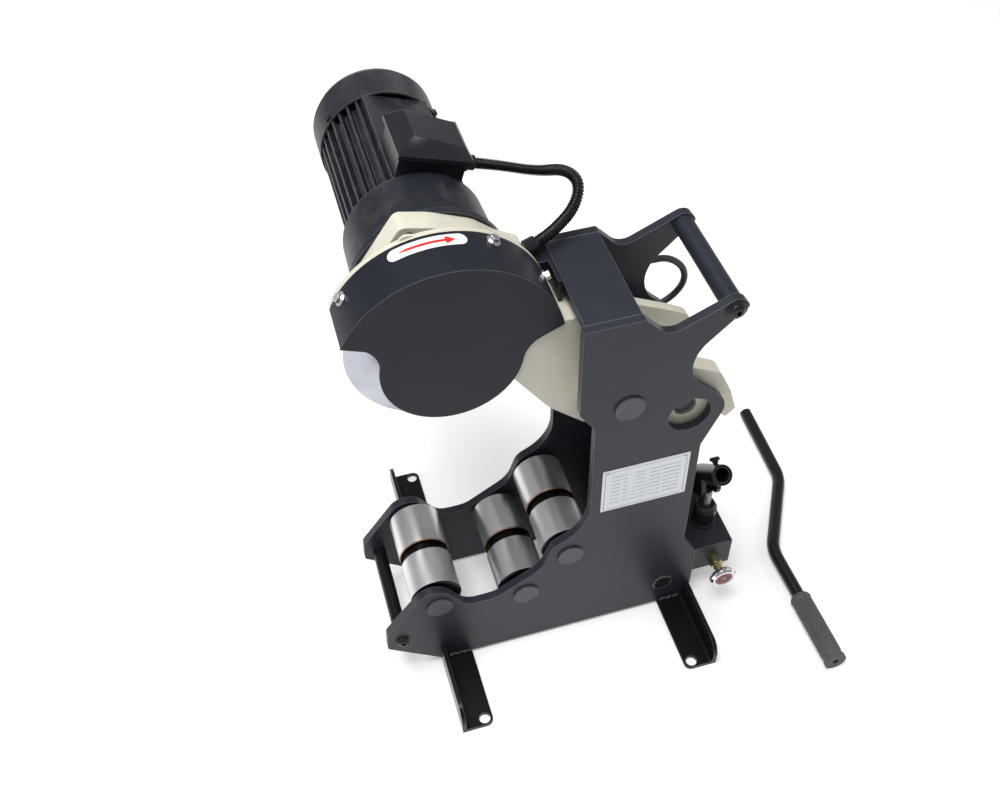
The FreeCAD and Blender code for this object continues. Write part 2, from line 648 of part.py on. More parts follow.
cut(casting, [circle("lug_x", "lug_z", LUG_BORE)], hub_front - LUG_STAND, hub_rear)
cut(casting, [circle("head_x", "head_z", 46)], 8, "flange_rear")
cut(casting, [circle("head_x", "head_z", 24)], 0, 8)
# Slot in the neck that the wheel turns in.
cut(casting, [circle("head_x", "head_z", "wheel_r + 5")], -40, 0)
# Recess along the upper left of the flange, where a socket screw sits.
cut(casting, rounded([(-230, 530, 5), (-230, 655, 5), (-80, 655, 5), (-80, 603, 3), (-104, 602, 10),
                      (-137, 607, 8), (-176, 552, 5)]), 3.5, 12)
parts.append(casting)

bush_bore, bush_long = "pivot_r + %s" % RUN, "%s - ( %s )" % (hub_rear, hub_front)
parts.append(turned("pivot_bush", [(bush_bore, 0), (19, 0), (19, bush_long), (bush_bore, bush_long)],
                    ("pivot_x", hub_front, "pivot_z"), REAR))
parts.append(turned("tail_pin", [(0, 0), (8, 0), (8, 1.5), (11.5, 1.5), (LUG_BORE, 3), (LUG_BORE, 107),
                                 (0, 107)],
                    ("lug_x", hub_front, "lug_z"), REAR))

# Guard: a face with a rounded top, a shoulder each side and a lower lobe, folded back into a rim.
rim_r = size("guard_r")
right_end, left_end = about_guard(rim_r, RIM_FROM), about_guard(rim_r, RIM_TO + 1)
left_low = guard_mid + V(-108, 50, 0)
left_step, left_in = guard_mid + V(-84, 40, 0), guard_mid + V(-73, 11, 0)
right_step, right_in = guard_mid + V(94, 9, 0), guard_mid + V(73.5, -18, 0)
bottom = guard_mid + V(2, -size("lobe_r"), 0)
guard = flat("guard_cover", [Part.Arc(right_end, about_guard(rim_r, 80), left_end),
                             Part.LineSegment(left_end, left_low),
                             Part.LineSegment(left_low, left_step),
                             Part.Arc(left_step, guard_mid + V(-75.5, 28, 0), left_in),
                             Part.Arc(left_in, bottom, right_in),
                             Part.Arc(right_in, guard_mid + V(80, -2, 0), right_step),
                             Part.LineSegment(right_step, right_end)],
             "guard_front", "guard_front + guard_sheet")
inner_r = rim_r - size("guard_sheet")
inner_start, inner_end = about_guard(inner_r, RIM_FROM), about_guard(inner_r, RIM_TO + 1)
slab(guard, [Part.Arc(right_end, about_guard(rim_r, 80), left_end),
             Part.LineSegment(left_end, inner_end),
             Part.Arc(inner_end, about_guard(inner_r, 80), inner_start),
             Part.LineSegment(inner_start, right_end)], "guard_front + guard_sheet", "guard_rear")
parts.append(guard)


def flange_bolt(label, at, along):
    """Zinc hex bolt with a washer under its head."""
    washer = turned(label + "_washer", [(0, 0), (7.5, 0), (7.5, 1.4), (0, 1.4)], at, along)
    step = V(*along) * 1.4
    hexagon = hex_prism(label + "_hex", 9, 4.5, (at[0] + step.x, at[1] + step.y, at[2] + step.z), along)
    return joined(label, "Fuse", [washer, hexagon])


bolts = []
for number, degrees in enumerate((143.5, 61, 22)):
    out = about_guard(rim_r, degrees)
    direction = (out - guard_mid).normalize()
    bolts.append(flange_bolt("guard_bolt_%d" % number, (out.x, -14, out.y),
                             V(direction.x, 0, direction.y)))
parts.append(group("guard_bolts", bolts))

stop_rear = block("stop_rear", (-18, 4, 522), (25.5, 29.5, 26))
stop_front = block("stop_front", (2.5, -28, 521), (5, 33, 27))
parts.append(joined("bracket_block", "Fuse", [stop_rear, stop_front]))

# Bell, motor housing with fins, fan cowl.
bell_half = [(30, "flange_rear"), ("bell_r + 8", "flange_rear"), ("bell_r + 8", "flange_rear + 8"),
             ("bell_r + 2", "flange_rear + 16"), ("bell_r", "bell_rear - 6"),
             ("bell_r - 3", "bell_rear"), (20, "bell_rear"), (20, "bell_rear - 8"),
             ("bell_r - 8", "bell_rear - 8"), ("bell_r - 8", "flange_rear + 8"), (30, "flange_rear + 8")]
parts.append(turned("motor_bell", bell_half, ("motor_x", 0, "motor_z"), REAR))

housing_core = doc.addObject("Part::Cylinder", "housing_core")
bind(housing_core, "Radius", "motor_r")
bind(housing_core, "Height", "fins_rear - bell_rear")
place(housing_core, ("motor_x", "bell_rear", "motor_z"), FreeCAD.Rotation(UP, REAR))
doc.recompute()
BOX_TURN = 18
motor_axis = V(size("motor_x"), 0, size("motor_z"))
fin_long = size("fins_rear") - size("bell_rear")
FIN_THICK, FIN_COUNT = 2.6, 36
solids = []
for number in range(FIN_COUNT):
    degrees = number * 360 / FIN_COUNT
    if min(abs(degrees - BOX_TURN), abs(degrees - 360 - BOX_TURN)) < 34:
        continue
    fin = Part.makeBox(FIN_THICK, fin_long, size("fin_tip_r") - size("motor_r") + 3,
                       V(-FIN_THICK / 2, size("bell_rear"), size("motor_r") - 3))
    fin.rotate(V(0, 0, 0), REAR, degrees)
    fin.translate(motor_axis)
    solids.append(fin)
pad = Part.makeBox(76, fin_long, 12, V(-38, size("bell_rear"), size("motor_r") - 12 + 3.5))
pad.rotate(V(0, 0, 0), REAR, BOX_TURN)
pad.translate(motor_axis)
solids.append(pad)
hollow = Part.makeCylinder(size("motor_r") - 6, fin_long, V(size("motor_x"), size("bell_rear"),
                                                            size("motor_z")), REAR)
parts.append(shaped("motor_housing", housing_core.Shape.fuse(solids).cut(hollow).removeSplitter()))

stator_half = [(36, 14), ("motor_r - 6", 14), ("motor_r - 6", "fins_rear - bell_rear - 24"),
               (36, "fins_rear - bell_rear - 24")]
parts.append(turned("stator", stator_half, ("motor_x", "bell_rear", "motor_z"), REAR))
cowl_half = [("cowl_r - 2.5", 0), ("cowl_r", 0), ("cowl_r", "cowl_rear - fins_rear - 12"),
             ("cowl_r - 4", "cowl_rear - fins_rear - 3"), ("cowl_r - 12", "cowl_rear - fins_rear"),
             (14, "cowl_rear - fins_rear"), (14, "cowl_rear - fins_rear - 2.5"),
             ("cowl_r - 14", "cowl_rear - fins_rear - 2.5"), ("cowl_r - 6.5", "cowl_rear - fins_rear - 6"),
             ("cowl_r - 2.5", "cowl_rear - fins_rear - 14")]
cowl_start = "fins_rear + 0.1"
parts.append(turned("fan_cowl", cowl_half, ("motor_x", cowl_start, "motor_z"), REAR))
screws = []
for number in range(3):
    turn = math.radians(-52 + number * 120)
    direction = V(math.sin(turn), 0, math.cos(turn))
    at = motor_axis + direction * size("cowl_r") + V(0, size("fins_rear") + 8, 0)
    screws.append(turned("cowl_screw_%d" % number, [(0, 0), (4.2, 0), (4.2, 2), (2.6, 3), (0, 3)],
                         (at.x, at.y, at.z), direction))
parts.append(group("cowl_screws", screws))

# Terminal box on the housing's flat, turned with it; its front part reaches over the bell.
up_box = V(math.sin(math.radians(BOX_TURN)), 0, math.cos(math.radians(BOX_TURN)))
side_box = V(math.cos(math.radians(BOX_TURN)), 0, -math.sin(math.radians(BOX_TURN)))
BOX_LOW, BOX_RIM = size("motor_r") + 4, size("motor_r") + 30
BOX_FRONT, BOX_LONG, BOX_WIDE, BOX_SHIFT, SKIRT = 114, 76, 82, 1, 5


def box_loop(front, rear, sides):
    """Rectangle over the motor: (across, level) of its left and right sides."""
    corners = []
    for (across, level), along in ((sides[0], front), (sides[1], front), (sides[1], rear),
                                   (sides[0], rear)):
        corners.append(motor_axis + up_box * level + side_box * (across + BOX_SHIFT) + V(0, along, 0))
    return Part.makePolygon(corners + [corners[0]])


def box_shell(low, high, inset, front_inset=None):
    """Straight-sided box between two levels over the motor."""
    half = BOX_WIDE / 2 - inset
    front = BOX_FRONT + (inset if front_inset is None else front_inset)
    rear = BOX_FRONT + BOX_LONG - inset
    return Part.makeLoft([box_loop(front, rear, ((-half, low), (half, low))),
                          box_loop(front, rear, ((-half, high), (half, high)))], True, True)


def lid_crown(inset, drop):
    """Sloping crown of the lid: high on the left, low on the right; inset for its hollow."""
    half = BOX_WIDE / 2 - inset
    front, rear = BOX_FRONT + inset, BOX_FRONT + BOX_LONG - inset
    level = BOX_RIM + SKIRT
    top = ((-half + 18, level + 13 - drop), (half - 4, level + 3 - drop))
    return Part.makeLoft([box_loop(front, rear, ((-half, level - drop), (half, level - drop))),
                          box_loop(front + 21, rear - 7, top)], True, True)


behind_bell = size("bell_rear") + 0.2 - BOX_FRONT
parts.append(shaped("terminal_box", box_shell(BOX_LOW, BOX_RIM, 4, behind_bell).cut(
    box_shell(BOX_LOW + 4, BOX_RIM, 8, behind_bell + 4))))
skirt = box_shell(BOX_RIM, BOX_RIM + SKIRT, 0)
lid_hollow = box_shell(BOX_RIM, BOX_RIM + SKIRT - 3, 4)
parts.append(shaped("terminal_lid", skirt.fuse(lid_crown(0, 0)).cut(lid_hollow).removeSplitter()))

# Corrugated conduit from the terminal box, round behind the frame's top, into the neck.
CONDUIT_R = 6.5
GLAND_LONG = 14
exit_at = motor_axis + side_box * (BOX_WIDE / 2 + BOX_SHIFT - 4) + up_box * (BOX_RIM - 11)
exit_at = exit_at + V(0, BOX_FRONT + 24, 0)
start = exit_at + side_box * GLAND_LONG
leave = start + side_box * 24
CONDUIT = [(start.x, start.y, start.z), (leave.x, leave.y, leave.z), (27, 121, 570), (51, 102, 582),
           (61, 79, 579), (48, 58, 564), (20, 37, 559), (1, 26, 558)]
inward = (V(-20, 19, 557) - V(*CONDUIT[-1])).normalize()
lower = V(*CONDUIT[-1]) + inward * 8
CONDUIT.append((lower.x, lower.y, lower.z))
parts.append(tube("conduit", CONDUIT, CONDUIT_R))
wall_run = (lower.x + 20) / -inward.x
glands = [turned("gland_upper", [(0, 0), (10, 0), (10, 6), (8.5, 7), (8.5, GLAND_LONG), (0, GLAND_LONG)],
                 (exit_at.x, exit_at.y, exit_at.z), side_box)]
gland_body = Part.makeCylinder(8.5, wall_run + 8, lower, inward)
behind_wall = Part.makeBox(30, 60, 60, V(-50, -10, 527))
glands.append(shaped("gland_lower", gland_body.cut(behind_wall)))
parts.append(group("conduit_glands", glands))

# ---- reduction gear, cutter and rotor ----------------------------------------------------------


def gear_outline(teeth, tip, root, half_tip, half_root, at):
    """Closed outline of straight-sided teeth; the half widths are shares of a tooth's pitch."""
    pitch = 2 * math.pi / teeth
    points = []
    for tooth in range(teeth):
        for radius, share in ((root, -half_root), (tip, -half_tip), (tip, half_tip), (root, half_root)):
            turn = (tooth + share) * pitch
            points.append(at + V(radius * math.sin(turn), 0, radius * math.cos(turn)))
    return Part.makePolygon(points + [points[0]])


module = size("gear_module")
cutter_axis = V(size("head_x"), 0, size("head_z"))
gear_front, gear_wide = 12, 22
pitch_pinion = module * size("pinion_teeth") / 2
pitch_ring = module * size("ring_teeth") / 2
lean = math.degrees(math.atan2(size("motor_x") - size("head_x"), size("motor_z") - size("head_z")))
pinion_wire = gear_outline(int(size("pinion_teeth")), pitch_pinion + 0.8 * module,
                           pitch_pinion - 1.2 * module, 0.10, 0.27, V(0, 0, 0))
pinion = Part.Face(pinion_wire).extrude(V(0, gear_wide, 0))
pinion.rotate(V(0, 0, 0), REAR, lean)
pinion.translate(motor_axis + V(0, gear_front, 0))
ring_wire = gear_outline(int(size("ring_teeth")), pitch_ring - 0.8 * module,
                         pitch_ring + 1.2 * module, 0.10, 0.27, V(0, 0, 0))
ring_blank = Part.makeCylinder(44, gear_wide, V(0, 0, 0), REAR)
ring = ring_blank.cut(Part.Face(ring_wire).extrude(V(0, gear_wide, 0)))
ring.rotate(V(0, 0, 0), REAR, lean + 180 / size("ring_teeth"))
web = Part.makeCylinder(44, 3, V(0, -3, 0), REAR).cut(Part.makeCylinder(12, 3, V(0, -3, 0), REAR))
ring = ring.fuse(web)
ring.translate(cutter_axis + V(0, gear_front, 0))
pinion_bore = Part.makeCylinder(6, gear_wide, motor_axis + V(0, gear_front, 0), REAR)
parts.append(shaped("drive_pinion", pinion.cut(pinion_bore)))
parts.append(shaped("ring_gear", ring.removeSplitter()))
parts.append(turned("cutter_shaft", [(0, "wheel_mid - 19"), (8, "wheel_mid - 19"), (8, "wheel_mid - 5"),
                                     (12, "wheel_mid - 5"), (12, 12), (0, 12)],
                    ("head_x", 0, "head_z"), REAR))
parts.append(turned("cutter_wheel", [(12, "wheel_mid - 5"), (40, "wheel_mid - 5"), (44, "wheel_mid - 4"),
                                     ("wheel_r - 16", "wheel_mid - 4"), ("wheel_r", "wheel_mid"),
                                     ("wheel_r - 16", "wheel_mid + 4"), (44, "wheel_mid + 4"),
                                     (40, "wheel_mid + 9"), (12, "wheel_mid + 9")],
                    ("head_x", 0, "head_z"), REAR))
NUT_WIDE, NUT_LONG = 30, 12
nut_at = ("head_x", "wheel_mid - %d" % (5 + NUT_LONG), "head_z")
nut_blank = hex_prism("cutter_nut_blank", NUT_WIDE, NUT_LONG, nut_at, REAR)
nut_bore = rod("cutter_nut_bore", 8, NUT_LONG, nut_at, REAR)
parts.append(joined("cutter_nut", "Cut", [nut_blank, nut_bore]))
bearings = [turned("spindle_bearing", [(12 + RUN, 0), (24, 0), (24, 8), (12 + RUN, 8)],
                   ("head_x", 0, "head_z"), REAR),
            turned("motor_front_bearing", [(10 + RUN, 0), (20, 0), (20, 8), (10 + RUN, 8)],
                   ("motor_x", "bell_rear - 8", "motor_z"), REAR)]
parts.append(group("drive_bearings", bearings))
parts.append(turned("rotor_shaft", [(0, gear_front), (6, gear_front), (6, 36), (10, 36),
                                    (10, "fins_rear + 34"), (0, "fins_rear + 34")],
                    ("motor_x", 0, "motor_z"), REAR))
parts.append(turned("rotor_core", [(10, "bell_rear + 16"), (35, "bell_rear + 16"), (35, "fins_rear - 26"),
                                   (10, "fins_rear - 26")], ("motor_x", 0, "motor_z"), REAR))
fan_disc = Part.makeCylinder(56, 3, motor_axis + V(0, size("fins_rear") + 16, 0), REAR)
fan_hub = Part.makeCylinder(16, 20, motor_axis + V(0, size("fins_rear") + 12, 0), REAR)
blades = []
for number in range(7):
    blade = Part.makeBox(2.4, 22, 44, V(-1.2, size("fins_rear") + 18, 12))
    blade.rotate(V(0, 0, 0), REAR, number * 360 / 7)
    blade.translate(motor_axis)
    blades.append(blade)
fan_bore = Part.makeCylinder(10, 60, motor_axis + V(0, size("fins_rear"), 0), REAR)
parts.append(shaped("cooling_fan", fan_hub.fuse([fan_disc] + blades).cut(fan_bore)))

# ---- lead behind the rear plate ----------------------------------------------------------------
LEAD = [(118, 61, 467), (140, 64, 461), (165, 66, 459), (186, 66, 440), (191, 66, 417),
        (180, 66, 397), (158, 64, 387), (138, 62, 383), (117, 61, 377)]
parts.append(tube("loop_lead", LEAD, 4))
lead_glands = []
for number, (end, near) in enumerate(((LEAD[0], LEAD[1]), (LEAD[-1], LEAD[-2]))):
    inward = (V(*end) - V(*near)).normalize()
    tip = V(*end) + inward * 13
    nose = Part.makeCone(5.2, 7.5, 6, V(*end), inward)
    barrel = Part.makeCylinder(7.5, 10, V(*end) + inward * 6, inward)
    saddle = Part.makeBox(18, 20, 18, V(tip.x - 18, size(REAR_OUT), tip.z - 9))
    lead_glands.append(shaped("lead_gland_%d" % number, saddle.fuse([nose, barrel])))
parts.append(group("lead_glands", lead_glands))

# ---- pump lever, lying beside the machine ------------------------------------------------------
LEVER = [(374.6, 167.6), (368.8, 38.2), (305.8, -73.5), (304.1, -154.1)]
GRIP_END = (307.4, -254.9)
rest_y = (LEVER[-1][1] + GRIP_END[1]) / 2


def lever_z(y):
    """Height of the lever's axis: it lies on its grip and on the far end of its rod."""
    fall = (size("grip_r") - size("lever_r")) / (LEVER[0][1] - rest_y)
    return size("grip_r") + 0.2 - (y - rest_y) * fall


bends = [(x, y, lever_z(y)) for x, y in LEVER] + [(GRIP_END[0], GRIP_END[1], lever_z(GRIP_END[1]))]
corner_points = [V(*point) for point in bends[:3]] + [V(*bends[-1])]
lever_edges = []
last = corner_points[0]
for before, tip, after in zip(corner_points, corner_points[1:], corner_points[2:]):
    back, ahead = (before - tip).normalize(), (after - tip).normalize()
    half_turn = (math.pi - back.getAngle(ahead)) / 2
    radius = 60
    run = radius * math.tan(half_turn)
    mid = tip + (back + ahead).normalize() * (radius / math.cos(half_turn) - radius)
    lever_edges.append(Part.LineSegment(last, tip + back * run).toShape())
    lever_edges.append(Part.Arc(tip + back * run, mid, tip + ahead * run).toShape())
    last = tip + ahead * run
lever_end = corner_points[-1] - (corner_points[-1] - corner_points[-2]).normalize() * 6
lever_edges.append(Part.LineSegment(last, lever_end).toShape())
lever_path = Part.Wire(lever_edges)
start_run = (corner_points[1] - corner_points[0]).normalize()
lever_section = Part.Wire(Part.Circle(corner_points[0], start_run, size("lever_r")).toShape())
parts.append(shaped("lever_rod", lever_path.makePipeShell([lever_section], True, False)))
grip_dir = (corner_points[-1] - corner_points[-2]).normalize()
grip_at = corner_points[-1] - grip_dir * 101
parts.append(turned("lever_grip", [("lever_r", 0), ("grip_r - 2.5", 0), ("grip_r - 0.5", 2.5),
                                   ("grip_r - 0.5", 97), ("grip_r", 98), ("grip_r", 101), (3, 101),
                                   (3, 95), ("lever_r", 95)],
                    (grip_at.x, grip_at.y, grip_at.z), grip_dir))

# ---- check and write ---------------------------------------------------------------------------
doc.recompute()
for item in doc.Objects:
    if "Invalid" in item.State or "Error" in item.State:
        raise ValueError("%s failed: %s" % (item.Label, item.State))
os.makedirs("parts", exist_ok=True)
for item in parts:
    if item.Shape.isNull() or not item.Shape.isValid() or item.Shape.Volume <= 0:
        raise ValueError("bad shape in %s" % item.Label)
    item.Shape.exportStep("parts/%s.step" % item.Label)
print(len(parts), "sub-parts written")
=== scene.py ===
import json
import math

import bpy
import bmesh
import numpy as np
from mathutils import Matrix, Vector


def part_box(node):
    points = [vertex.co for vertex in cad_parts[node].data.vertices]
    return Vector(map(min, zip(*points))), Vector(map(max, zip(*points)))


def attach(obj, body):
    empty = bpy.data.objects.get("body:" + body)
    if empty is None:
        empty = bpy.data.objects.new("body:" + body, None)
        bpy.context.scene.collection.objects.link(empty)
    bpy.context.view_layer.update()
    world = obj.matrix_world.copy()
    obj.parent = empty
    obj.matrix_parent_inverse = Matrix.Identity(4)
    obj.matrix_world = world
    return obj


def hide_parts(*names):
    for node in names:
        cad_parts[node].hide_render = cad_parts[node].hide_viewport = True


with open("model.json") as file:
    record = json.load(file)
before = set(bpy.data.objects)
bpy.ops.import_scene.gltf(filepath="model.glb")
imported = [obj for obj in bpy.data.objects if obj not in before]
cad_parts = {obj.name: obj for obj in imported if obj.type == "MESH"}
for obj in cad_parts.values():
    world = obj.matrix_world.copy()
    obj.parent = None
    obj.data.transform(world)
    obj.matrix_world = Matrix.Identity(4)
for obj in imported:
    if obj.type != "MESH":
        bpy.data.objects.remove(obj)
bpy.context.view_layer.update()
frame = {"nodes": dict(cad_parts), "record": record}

print("frame loaded:", len(frame["nodes"]), "nodes")

# ---- camera, light and floor

view = {
    "place": (-0.2785, -0.8372, 1.3301),
    "right": (0.9602, -0.2787, -0.0181),
    "up": (0.2197, 0.7135, 0.6653),
    "lens": 41.515,
    "sensor": 36.0,
}


def addCamera():
    right = Vector(view["right"]).normalized()
    back = right.cross(Vector(view["up"])).normalized()
    up = back.cross(right)
    turn = Matrix((right, up, back)).transposed().to_4x4()
    data = bpy.data.cameras.new("camera")
    data.lens = view["lens"]
    data.sensor_width = view["sensor"]
    data.clip_end = 30
    camera = bpy.data.objects.new("camera", data)
    camera.matrix_world = Matrix.Translation(view["place"]) @ turn
    bpy.context.scene.collection.objects.link(camera)
    bpy.context.scene.camera = camera


def addLamp(name, place, target, size, power, tint=(1, 1, 1)):
    data = bpy.data.lights.new(name, "AREA")
    data.shape = "RECTANGLE"
    data.size, data.size_y = size
    data.energy = power
    data.color = tint
    lamp = bpy.data.objects.new(name, data)
    aim = (Vector(target) - Vector(place)).to_track_quat("-Z", "Y")
    lamp.matrix_world = Matrix.Translation(place) @ aim.to_matrix().to_4x4()
    bpy.context.scene.collection.objects.link(lamp)


lamps = {
    "overhead": dict(place=(-0.5, -0.1, 2.7), target=(0, 0.05, 0.2), size=(2.0, 0.9), power=66),
    "leftBox": dict(place=(-2.1, -0.3, 1.5), target=(0, 0, 0.3), size=(0.7, 1.8), power=15),
    "rightStrip": dict(place=(1.9, -0.3, 1.3), target=(0.1, 0, 0.2), size=(0.5, 1.8), power=11),
    "backStrip": dict(place=(0.2, 2.6, 0.9), target=(0, 0.1, 0.4), size=(2.2, 0.3), power=7),
}

addCamera()
for lampName, lampValues in lamps.items():
    addLamp(lampName, **lampValues)

world = bpy.data.worlds.new("studio")
world.use_nodes = True
world.node_tree.nodes["Background"].inputs["Color"].default_value = (1, 1, 1, 1)
world.node_tree.nodes["Background"].inputs["Strength"].default_value = 0.32
bpy.context.scene.world = world
bpy.context.scene.view_settings.view_transform = "Standard"
print("camera and lamps placed")

# ---- shader arithmetic


class Wire:  # one shader socket; sums on it add Math nodes
    def __init__(self, net, socket):
        self.net = net
        self.socket = socket

    def sum(self, operation, *others):
        return self.net.node("ShaderNodeMath", {"operation": operation}, [self, *others])

    def __add__(self, other):
        return self.sum("ADD", other)

    def __sub__(self, other):
        return self.sum("SUBTRACT", other)

    def __rsub__(self, other):
        return self.net.node("ShaderNodeMath", {"operation": "SUBTRACT"}, [other, self])

    def __mul__(self, other):
        return self.sum("MULTIPLY", other)

    def __truediv__(self, other):
        return self.sum("DIVIDE", other)

    def __pow__(self, other):
        return self.sum("POWER", other)

    def __lt__(self, other):
        return self.sum("LESS_THAN", other)

    def __gt__(self, other):
        return self.sum("GREATER_THAN", other)

    __radd__ = __add__
    __rmul__ = __mul__


class Net:  # node tree of one material, ended by a Principled shader
    def __init__(self, name):
        self.material = bpy.data.materials.new(name)
        self.material.use_nodes = True
        self.tree = self.material.node_tree
        self.tree.nodes.clear()
        self.here = self.node("ShaderNodeTexCoord", {}, {}, "Object")

    def node(self, kind, settings, inputs, out=0):
        item = self.tree.nodes.new(kind)
        for key, value in settings.items():
            if key == "stops":
                ramp = item.color_ramp.elements
                while len(ramp) < len(value):
                    ramp.new(0.5)
                for element, (position, colour) in zip(ramp, value):
                    element.position = position
                    element.color = (*colour, 1)
            else:
                setattr(item, key, value)
        pairs = inputs.items() if isinstance(inputs, dict) else enumerate(inputs)
        for key, value in pairs:
            if isinstance(value, Wire):
                self.tree.links.new(value.socket, item.inputs[key])
            else:
                item.inputs[key].default_value = value
        return Wire(self, item.outputs[out])

    def axis(self, index, source=None):
        return self.node("ShaderNodeSeparateXYZ", {}, [source or self.here], index)

    def stretched(self, scale, source=None):
        return self.node("ShaderNodeMapping", {}, {"Vector": source or self.here, "Scale": scale})

    def noise(self, scale, detail=2.0, rough=0.5, source=None):
        return self.node("ShaderNodeTexNoise", {}, {"Vector": source or self.here, "Scale": scale,
                         "Detail": detail, "Roughness": rough}, "Fac")

    def fade(self, value, low, high, start=0.0, end=1.0):
        return self.node("ShaderNodeMapRange", {}, [value, low, high, start, end])

    def mix(self, share, first, second):
        first = first if isinstance(first, Wire) else (*first, 1)
        second = second if isinstance(second, Wire) else (*second, 1)
        return self.node("ShaderNodeMix", {"data_type": "RGBA"}, {0: share, 6: first, 7: second}, 2)

    def softEdge(self, radius):
        return self.node("ShaderNodeBevel", {"samples": 4}, {"Radius": radius})

    def edge(self, soft):  # one on a sharp edge, nothing on a face: how far the softened normal leans
        normal = self.node("ShaderNodeNewGeometry", {}, {}, "Normal")
        lean = self.node("ShaderNodeVectorMath", {"operation": "DOT_PRODUCT"}, [soft, normal], "Value")
        return self.fade(1 - lean, 0.0, 0.2)

    def bump(self, height, depth, normal=None, strength=1.0):
        inputs = {"Height": height, "Distance": depth, "Strength": strength}
        if normal:
            inputs["Normal"] = normal
        return self.node("ShaderNodeBump", {}, inputs)

    def close(self, **sockets):
        shader = self.tree.nodes.new("ShaderNodeBsdfPrincipled")
        for key, value in sockets.items():
            socket = shader.inputs[key.replace("_", " ")]
            if isinstance(value, Wire):
                self.tree.links.new(value.socket, socket)
            elif isinstance(value, tuple) and len(value) == 3:
                socket.default_value = (*value, 1)
            else:
                socket.default_value = value
        output = self.tree.nodes.new("ShaderNodeOutputMaterial")
        self.tree.links.new(shader.outputs[0], output.inputs[0])
        return self.material


# ---- finishes

def powderCoat(name, tint, sheen=0.36, peel=0.5, gloss=0.35, dust=0.0):
    net = Net(name)
    soft = net.softEdge(0.0009)
    wornAndHighlitEdge = net.edge(soft)
    cloud = net.noise(9, 4, 0.6)
    speck = net.noise(1400, 1)
    scuff = net.fade(net.noise(60, 6, 0.7, net.stretched((1.0, 3.0, 1.0))), 0.62, 0.75)
    pale = tuple(value * 1.5 + 0.004 for value in tint)
    colour = net.mix(net.fade(cloud, 0.3, 0.7) * 0.5, tint, pale)
    # edges lightened towards grey: partly worn paint, partly a painted highlight along every sharp edge
    colour = net.mix(wornAndHighlitEdge * 0.6, colour, (0.34, 0.36, 0.40))
    if dust:
        settled = net.fade(net.noise(34, 5, 0.7), 0.5, 0.75) * dust
        colour = net.mix(settled, colour, (0.10, 0.085, 0.07))
    rough = sheen + cloud * 0.10 + scuff * 0.08 - wornAndHighlitEdge * 0.1
    grain = net.noise(520, 2) * peel + speck * 0.2
    return net.close(Base_Color=colour, Roughness=rough, Normal=net.bump(grain, 0.00012, soft),
                     Specular_IOR_Level=gloss)


def ivoryPaint(name):
    net = Net(name)
    soft = net.softEdge(0.002)
    wornAndHighlitEdge = net.edge(soft)
    cloud = net.noise(14, 5, 0.6)
    pits = net.noise(260, 3, 0.6)
    colour = net.mix(net.fade(cloud, 0.35, 0.7), (0.50, 0.475, 0.39), (0.60, 0.575, 0.485))
    colour = net.mix(net.fade(pits, 0.62, 0.8) * 0.25, colour, (0.50, 0.47, 0.38))
    # edges paled towards a whiter ivory: a painted highlight along every sharp edge
    colour = net.mix(wornAndHighlitEdge * 0.3, colour, (0.86, 0.85, 0.78))
    return net.close(Base_Color=colour, Roughness=0.38 + cloud * 0.14,
                     Normal=net.bump(pits + cloud * 2, 0.0004, soft), Coat_Weight=0.2,
                     Coat_Roughness=0.3)


def turnedSteel(name, tint, rough=0.3, step=900, metal=1.0):
    net = Net(name)
    lines = net.noise(1.0, 3, 0.7, net.stretched((4.0, step, 4.0)))
    smear = net.noise(18, 4, 0.6, net.stretched((1.0, 0.3, 1.0)))
    colour = net.mix(net.fade(smear, 0.35, 0.7) * 0.6, tint, tuple(value * 0.72 for value in tint))
    soft = net.softEdge(0.0006)
    return net.close(Base_Color=colour, Metallic=metal, Roughness=rough + lines * 0.16 + smear * 0.1,
                     Normal=net.bump(lines, 0.00006, soft), Anisotropic=0.35)


def rollerSteel(name):  # brushed steel with a dark turned groove round the middle and dark ends
    net = Net(name)
    along = net.axis(1)
    lines = net.noise(1.0, 3, 0.7, net.stretched((4.0, 900.0, 4.0)))
    smear = net.noise(22, 4, 0.6, net.stretched((1.0, 0.25, 1.0)))
    colour = net.mix(net.fade(smear, 0.35, 0.7) * 0.7, (0.74, 0.74, 0.76), (0.40, 0.40, 0.41))
    off = net.node("ShaderNodeMath", {"operation": "ABSOLUTE"}, [along - roller["grooveAt"]])
    colour = net.mix(off < roller["grooveHalf"], colour, (0.015, 0.014, 0.014))
    lip = net.node("ShaderNodeMath", {"operation": "ABSOLUTE"}, [along - roller["lipAt"]])
    colour = net.mix((lip < roller["lipHalf"]) * 0.8, colour, (0.42, 0.20, 0.10))
    colour = net.mix(along < roller["frontEnd"], colour, (0.03, 0.03, 0.032))
    return net.close(Base_Color=colour, Metallic=1.0, Roughness=0.24 + lines * 0.16 + smear * 0.12,
                     Normal=net.bump(lines, 0.00006, net.softEdge(0.0008)), Anisotropic=0.4)


def knobFace(name):  # chrome rim, dark face and a red ring round it, by distance from the knob's axis
    net = Net(name)
    low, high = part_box("release_knob")
    place = ((low[0] + high[0]) / 2, 0.0, (low[2] + high[2]) / 2)
    flat = net.node("ShaderNodeVectorMath", {"operation": "MULTIPLY"}, [net.here, (1.0, 0.0, 1.0)])
    away = net.node("ShaderNodeVectorMath", {"operation": "DISTANCE"}, [flat, place], "Value")
    front = net.axis(1) < low[1] + 0.003
    colour = net.mix((away < 0.0118) * front, (0.78, 0.78, 0.80), (0.03, 0.03, 0.035))
    ring = (away < 0.0112) * (away > 0.0086) * front
    colour = net.mix(ring, colour, (0.42, 0.03, 0.05))
    colour = net.mix((away < 0.0034) * front, colour, (0.60, 0.05, 0.06))
    smooth = net.noise(120, 3)
    return net.close(Base_Color=colour, Metallic=1.0 - (away < 0.0118) * front,
                     Roughness=0.07 + smooth * 0.1,
                     Normal=net.bump(smooth, 0.00003, net.softEdge(0.0008)))


